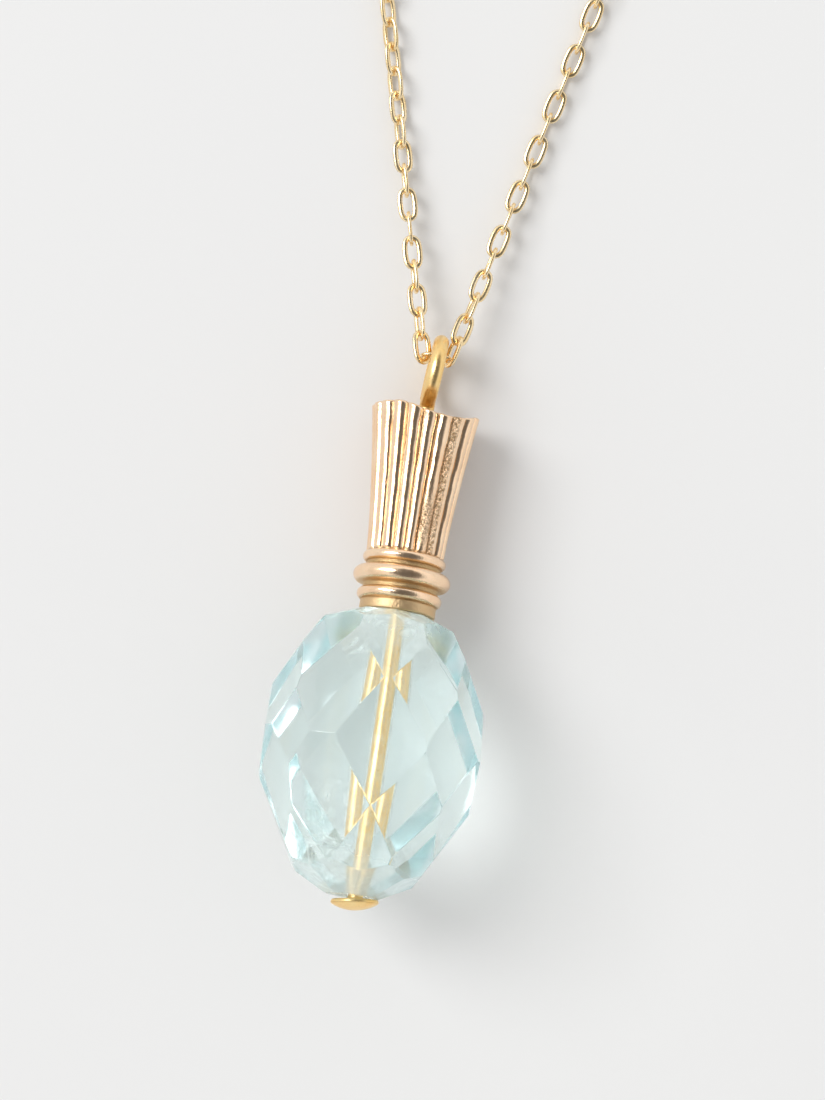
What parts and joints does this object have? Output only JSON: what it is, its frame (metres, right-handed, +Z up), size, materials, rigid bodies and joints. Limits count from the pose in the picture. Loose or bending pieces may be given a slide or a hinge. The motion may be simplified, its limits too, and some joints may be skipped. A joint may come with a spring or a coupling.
{
  "type": "pendant necklace",
  "caption": "Necklace on a fine cable chain with a faceted glass bead on a head pin under a fluted gold cap, lying flat.",
  "frame": {"origin": "middle of the necklace's outline on the surface it lies on", "axes": "+Y from the pendant along the chain to the clasp, +Z up from the surface"},
  "size_m": [0.0704, 0.2092, 0.0125],
  "materials": {
    "bead": "polished, pale aqua",
    "head_pin": "polished yellow gold",
    "fluted_cap": "cast rose gold, polished ribs, dull grooves",
    "chain_front": "polished pale yellow gold",
    "chain_back": "polished pale yellow gold",
    "clasp": "polished pale yellow gold"
  },
  "bodies": {
    "root": {"bead": "bead", "head_pin": "head_pin", "fluted_cap": "fluted_cap", "chain_front": "chain_front", "chain_back": "chain_back", "clasp": "clasp"}
  },
  "joints": []
}
